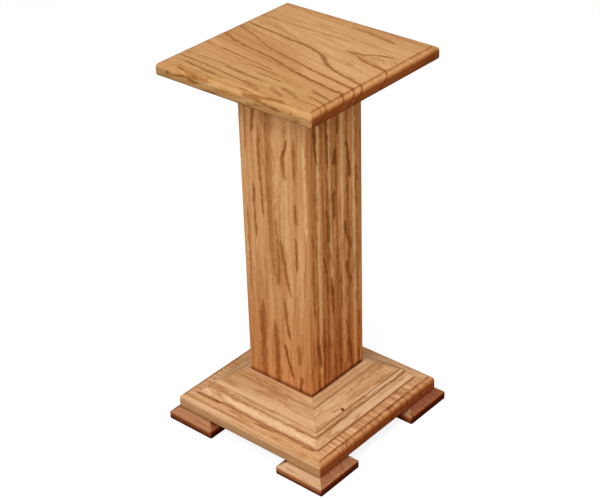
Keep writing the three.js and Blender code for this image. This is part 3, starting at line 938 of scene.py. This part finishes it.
top_wide_oak = oak(
    "top_wide_oak",
    TOP_TONES,
    **TOP_GRAIN,
    ring_start=100.0,
    ring_spacing=1.82,
    ring_power=0.5,
    ring_shift=0.54,
    line_depth=0.1,
    flame_depth=0.2,
    flame_size=(34, 2.2, 14),
    flame_level=0.62,
    streak_contrast=0.3,
    fine_depth=0.1,
    marks=WIDE_BOARD_MARKS,
    mark_lean=1.3,
)
top_front_oak = oak(
    "top_front_oak",
    TOP_FRONT_TONES,
    **TOP_GRAIN,
    ring_spacing=5.0,
    line_depth=0.3,
    dashes=0.95,
    flame_size=(30, 2.5, 10),
    flame_level=0.6,
    streak_contrast=0.4,
    fine_depth=0.12,
    marks=FRONT_BOARD_MARKS,
    mark_lean=1.0,
)
column_front_oak = oak(
    "column_front_oak",
    COLUMN_TONES,
    **COLUMN_GRAIN,
    line_depth=0.1,
    flame_depth=0.16,
    flame_size=(110.0, 2.6, 9.0),
    flame_level=0.58,
    streak_size=(300, 5.5, 14),
    streak_contrast=0.8,
    # Painted shade in the crevices and in a band just above the collar.
    crevice_depth=0.8,
    grime=(COLLAR_TOP, COLLAR_TOP + SHADE_BAND_HEIGHT, 0.6),
    pale=srgb(250, 204, 142),
    marks=COLUMN_FRONT_MARKS,
    pale_marks=COLUMN_FRONT_PALE,
)
column_side_oak = oak(
    "column_side_oak",
    COLUMN_SIDE_TONES,
    **COLUMN_GRAIN,
    line_depth=0.12,
    flame_depth=0.3,
    flame_size=(40.0, 4.5, 9.0),
    streak_size=(300, 7.0, 16),
    streak_contrast=0.85,
    # Painted shade in the crevices and in a band just above the collar.
    crevice_depth=0.9,
    grime=(COLLAR_TOP, COLLAR_TOP + SHADE_BAND_HEIGHT, 0.95),
    pale=srgb(255, 207, 147),
    marks=COLUMN_SIDE_MARKS,
    pale_marks=COLUMN_SIDE_PALE,
)
moulding_front_oak = oak(
    "moulding_front_oak",
    BASE_TONES,
    **MOULDING_GRAIN,
    crevice_depth=0.12,
    # Painted light: the pale band on the cove.
    pale=srgb(244, 202, 160),
    marks=MOULDING_FRONT_MARKS,
    pale_marks=MOULDING_FRONT_COVE_LIGHT,
)
moulding_side_oak = oak(
    "moulding_side_oak",
    BASE_SIDE_TONES,
    **MOULDING_GRAIN,
    crevice_depth=0.8,
    marks=MOULDING_SIDE_MARKS,
)
collar_oak = oak(
    "collar_oak",
    BASE_TONES,
    dashes=0.95,
    line_depth=0.5,
    flame_depth=0.4,
    flame_level=0.6,
    streak_size=(200, 3, 6),
    streak_contrast=0.9,
    fine_depth=0.14,
    crevice_depth=0.5,
)
plate_oak = oak(
    "plate_oak",
    PLATE_TONES,
    ring_spacing=3.4,
    dashes=0.8,
    line_depth=0.2,
    line_width=0.5,
    flame_depth=0.3,
    flame_level=0.6,
    fine_depth=0.1,
    end_line_fade=0.0,
    # Painted shade along the step of the routed edge.
    step_line=0.75,
    marks=PLATE_MARKS,
)
foot_oak = oak("foot_oak", FOOT_TONES, **FOOT_GRAIN, flame_level=0.6)
red_foot_oak = oak("red_foot_oak", RED_FOOT_TONES, **FOOT_GRAIN, flame_level=0.57)


# ---- Other materials ----


def hidden_oak():
    """Rough, unfinished oak for the two blocks inside the column."""
    material, tree = new_material("hidden_oak")
    place = place_on_piece(tree)
    streak = noise(tree, place, (90, 3, 8), 3.0)
    fibre = noise(tree, place, (18, 0.6, 0.6))
    saw_marks = noise(tree, place, (1.6, 40, 40), 1.0)
    light, mid, line = BASE_TONES
    colour = blend(tree, ramp(tree, streak, 0.35, 0.65), light, mid)
    colour = blend(tree, ramp(tree, fibre, 0.55, 0.7, 0.0, 0.5), colour, line)
    relief = calculate(tree, "ADD", saw_marks, multiply(tree, fibre, 0.6))
    finish_surface(tree, colour, stretch(tree, fibre, 0.7, 0.88), relief, 0.5, 0.2 * MM)
    return material


def zinc_steel():
    """Zinc plated steel with fine turning marks and a cloudy passivated skin."""
    material, tree = new_material("zinc_steel")
    place = place_on_piece(tree)
    cloud = noise(tree, place, (2.5, 2.5, 2.5), 3.0)
    turning = noise(tree, place, (3.0, 3.0, 0.15), 1.0)
    colour = blend(tree, ramp(tree, cloud, 0.35, 0.65), srgb(206, 204, 198), srgb(178, 172, 158))
    roughness = stretch(tree, cloud, 0.28, 0.5)
    finish_surface(tree, colour, roughness, turning, 0.3, 0.03 * MM, {"Metallic": 1.0})
    return material


def filler(name, light, dark):
    """Wood filler over a brad: fine specks, matte."""
    material, tree = new_material(name)
    speck = noise(tree, place_on_piece(tree), (0.4, 0.4, 0.4), 3.0)
    colour = blend(tree, ramp(tree, speck, 0.4, 0.6), light, dark)
    finish_surface(tree, colour, stretch(tree, speck, 0.6, 0.8), speck, 0.4, 0.05 * MM)
    return material


# ---- Pieces ----

# A board that lies flat: along its grain, across it and through it.
LYING_FLAT = ((1, 0, 0), (0, 1, 0), (0, 0, 1))


def make_object(name, shape, material):
    mesh = bpy.data.meshes.new(name)
    shape.to_mesh(mesh)
    shape.free()
    mesh.materials.append(material)
    made = bpy.data.objects.new(name, mesh)
    scene.collection.objects.link(made)
    return made


def make_piece(name, shape, material):
    bmesh.ops.recalc_face_normals(shape, faces=shape.faces)
    piece = make_object(name, shape, material)
    piece.data.shade_smooth()
    piece.data.set_sharp_from_angle(angle=SHARP_ANGLE)
    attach(piece, "root")
    return piece


def make_board(name, shape, material, log, arris=FINE_ARRIS):
    """A piece of solid oak, with its place in the log and its arrises taken off."""
    board = make_piece(name, shape, material)
    lay_grain(board.data, log)
    soften = board.modifiers.new("arris", "BEVEL")
    soften.width = arris
    soften.segments = 2
    soften.limit_method = "ANGLE"
    soften.angle_limit = SHARP_ANGLE
    soften.harden_normals = True
    return board


def side_axes(quarter_turns):
    """The tangent and the outward direction of one side of the stand."""
    spin = Matrix.Rotation(math.pi / 2 * quarter_turns, 3, "Z")
    return spin @ Vector((1, 0, 0)), spin @ Vector((0, -1, 0))


def make_top():
    outline = routed_outline(TOP_HALF, TOP_UNDERSIDE, TOP_LEVEL, TOP_EDGE_DROP)
    level = TOP_LEVEL / MM
    pith = (63.6, level - 108.5)
    wide_log = log_place(*LYING_FLAT, pith, drift=(-0.158, 0.031), bend=8.7e-5, face=level)
    front_log = log_place(*LYING_FLAT, (60.0, level - 60.0), drift=(-0.07, 0.0), seed=2100, face=level)
    wide = keep_beyond(square_block(outline, PANEL_EASE), SEAM_BEHIND, 1)
    front = keep_beyond(square_block(outline, PANEL_EASE), SEAM_AHEAD, -1)
    board = make_board("top_wide_board_oak", wide, top_wide_oak, wide_log)
    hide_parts("top_wide_board")
    board = make_board("top_front_board_oak", front, top_front_oak, front_log)
    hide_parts("top_front_board")


def make_column():
    for turns, side in enumerate(SIDES):
        tangent, outward = side_axes(turns)
        pith = (-12.0 + 9.0 * turns, -30.0)
        log = log_place((0, 0, 1), tangent, outward, pith, drift=(0.03, 0.02), seed=3300 * turns)
        shape = turn(column_board(), turns)
        figured = column_front_oak if turns % 2 == 0 else column_side_oak
        board = make_board(f"column_{side}_oak", shape, figured, log)
        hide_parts(f"column_{side}_board")


def make_base_runs():
    for turns, side in enumerate(SIDES):
        axes = (*side_axes(turns), (0, 0, 1))
        log = log_place(*axes, (20.0, -30.0), drift=(0.02, 0.01), seed=1700 * turns + 400)
        shape = turn(mitred_run(moulding_outline()), turns)
        figured = moulding_front_oak if turns % 2 == 0 else moulding_side_oak
        board = make_board(f"base_moulding_{side}_oak", shape, figured, log)
        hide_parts(f"base_moulding_{side}")
        log = log_place(*axes, (30.0, -10.0), drift=(0.02, 0.01), seed=1900 * turns + 900)
        shape = turn(mitred_run(collar_outline()), turns)
        board = make_board(f"collar_trim_{side}_oak", shape, collar_oak, log)
        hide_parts(f"collar_trim_{side}")


def make_plate():
    outline = routed_outline(PLATE_HALF, PLATE_BOTTOM, PLATE_TOP, PLATE_EDGE_DROP)
    level = PLATE_TOP / MM
    log = log_place(*LYING_FLAT, (20.0, -160.0), drift=(0.05, 0.03), seed=5200, face=level)
    board = make_board("base_plate_oak", square_block(outline, PANEL_EASE), plate_oak, log)
    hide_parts("base_plate")


def make_feet():
    for turns, corner in enumerate(CORNERS):
        tangent, outward = side_axes(turns)
        shape = square_block(foot_outline(), FOOT_EASE, (tangent + outward) * FOOT_CENTRE)
        log = log_place(*LYING_FLAT, (40.0, -50.0), drift=(0.03, 0.02), seed=900 * turns + 7000)
        figured = foot_oak if corner == "front_right" else red_foot_oak
        board = make_board(f"foot_{corner}_oak", shape, figured, log, WORN_ARRIS)
        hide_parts(f"foot_{corner}")


def filling_shape(radius):
    """A low round button about the origin, sunk at its foot and slightly crowned."""
    shape = bmesh.new()
    rings = []
    profile = ((radius, -FILLING_DEPTH), (radius, 0.0), (radius * FILLING_CROWN_PART, FILLING_CROWN))
    for out, height in profile:
        circle = arc((0, 0), (out, out), 0, 360, FILLING_STEPS)[:-1]
        rings.append([(x, y, height) for x, y in circle])
    skin(shape, rings)
    return shape


def make_brad_fillings():
    """A spot of filler over each brad, level with the moulding's face. One has darkened."""
    pale = filler("filler_pale", srgb(206, 158, 110), srgb(186, 134, 86))
    darkened = filler("filler_dark", srgb(118, 64, 24), srgb(86, 42, 14))
    lean = Matrix.Rotation(math.atan(SLOPE_FALL), 4, "X")
    for turns, side in enumerate(SIDES):
        for number, sign in ((1, -1), (2, 1)):
            dark = side == "right" and number == 1
            shape = filling_shape(FILLING_RADIUS * (DARK_FILLING_SPREAD if dark else 1.0))
            place = Matrix.Translation((sign * BRAD_SPREAD, -BRAD_OUT, slope_rise(BRAD_OUT)))
            bmesh.ops.transform(shape, matrix=place @ lean, verts=shape.verts)
            material = darkened if dark else pale
            make_piece(f"brad_filling_{side}_{number}", turn(shape, turns), material)


def dress_hidden_parts():
    """Blocks, screws and brads keep their CAD shapes and get materials of their own."""
    oak_inside, steel = hidden_oak(), zinc_steel()
    for name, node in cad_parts.items():
        if name in ("top_cleat", "column_base_block"):
            node.material_slots[0].material = oak_inside
        elif "screw" in name or "brad" in name:
            node.material_slots[0].material = steel


make_brad_fillings()
dress_hidden_parts()
make_top()
make_column()
make_base_runs()
make_plate()
make_feet()

# ---- Stage and light ----

FLOOR_HALF = 6.0
FLOOR_DROP = 0.2 * MM
FLOOR_SHOWN = 0.83
FLOOR_LIT = (0.28, 0.28, 0.28, 1)
FLOOR_BOUNCE = srgb(86, 66, 50)
WHITE = (1, 1, 1, 1)
SKY_COLOUR = (1, 0.98, 0.95, 1)
SKY = 0.36


def seen_directly(tree):
    """1 for what the camera sees directly or through glass, else 0."""
    path = add(tree, "ShaderNodeLightPath")
    return calculate(tree, "MAXIMUM", path.outputs["Is Camera Ray"], path.outputs["Is Transmission Ray"])


def make_floor():
    """A white floor that keeps the stand's soft shadow and throws back only a little light."""
    material, tree = new_material("floor_white")
    seen = seen_directly(tree)
    lit = add(tree, "ShaderNodeBsdfDiffuse", {"Color": FLOOR_LIT}).outputs[0]
    glow = add(tree, "ShaderNodeEmission", {"Color": WHITE, "Strength": FLOOR_SHOWN}).outputs[0]
    shown = add(tree, "ShaderNodeAddShader", {0: lit, 1: glow}).outputs[0]
    bounce = add(tree, "ShaderNodeBsdfDiffuse", {"Color": FLOOR_BOUNCE}).outputs[0]
    both = add(tree, "ShaderNodeMixShader", {0: seen, 1: bounce, 2: shown}).outputs[0]
    add(tree, "ShaderNodeOutputMaterial", {"Surface": both})
    shape = bmesh.new()
    bmesh.ops.create_grid(shape, x_segments=1, y_segments=1, size=FLOOR_HALF)
    floor = make_object("floor", shape, material)
    floor.location.z = -FLOOR_DROP


def make_world():
    """A white surround for the camera, and a soft sky that lights the stand."""
    world = bpy.data.worlds.new("studio")
    scene.world = world
    world.use_nodes = True
    tree = world.node_tree
    tree.nodes.clear()
    seen = seen_directly(tree)
    white = add(tree, "ShaderNodeBackground", {"Color": WHITE, "Strength": 1.0}).outputs[0]
    soft = add(tree, "ShaderNodeBackground", {"Color": SKY_COLOUR, "Strength": SKY}).outputs[0]
    both = add(tree, "ShaderNodeMixShader", {0: seen, 1: soft, 2: white}).outputs[0]
    add(tree, "ShaderNodeOutputWorld", {"Surface": both})


def make_lamp(name, azimuth, elevation, distance, size, power):
    """A square soft box that looks at the middle of the stand. The angles are in degrees."""
    away = direction(math.radians(azimuth), math.radians(elevation))
    lamp = bpy.data.lights.new(name, "AREA")
    lamp.size = size
    lamp.energy = power
    lamp_object = bpy.data.objects.new(name, lamp)
    lamp_object.location = Vector((0, 0, TOP_LEVEL / 2)) + away * distance
    lamp_object.rotation_euler = away.to_track_quat("Z", "Y").to_euler()
    scene.collection.objects.link(lamp_object)


make_floor()
make_world()
make_lamp("key", azimuth=17, elevation=35, distance=2.6, size=1.4, power=41)
make_lamp("fill", azimuth=100, elevation=20, distance=2.6, size=1.4, power=12)
make_lamp("overhead", azimuth=30, elevation=80, distance=2.4, size=2.0, power=28)

scene.view_settings.view_transform = "Standard"
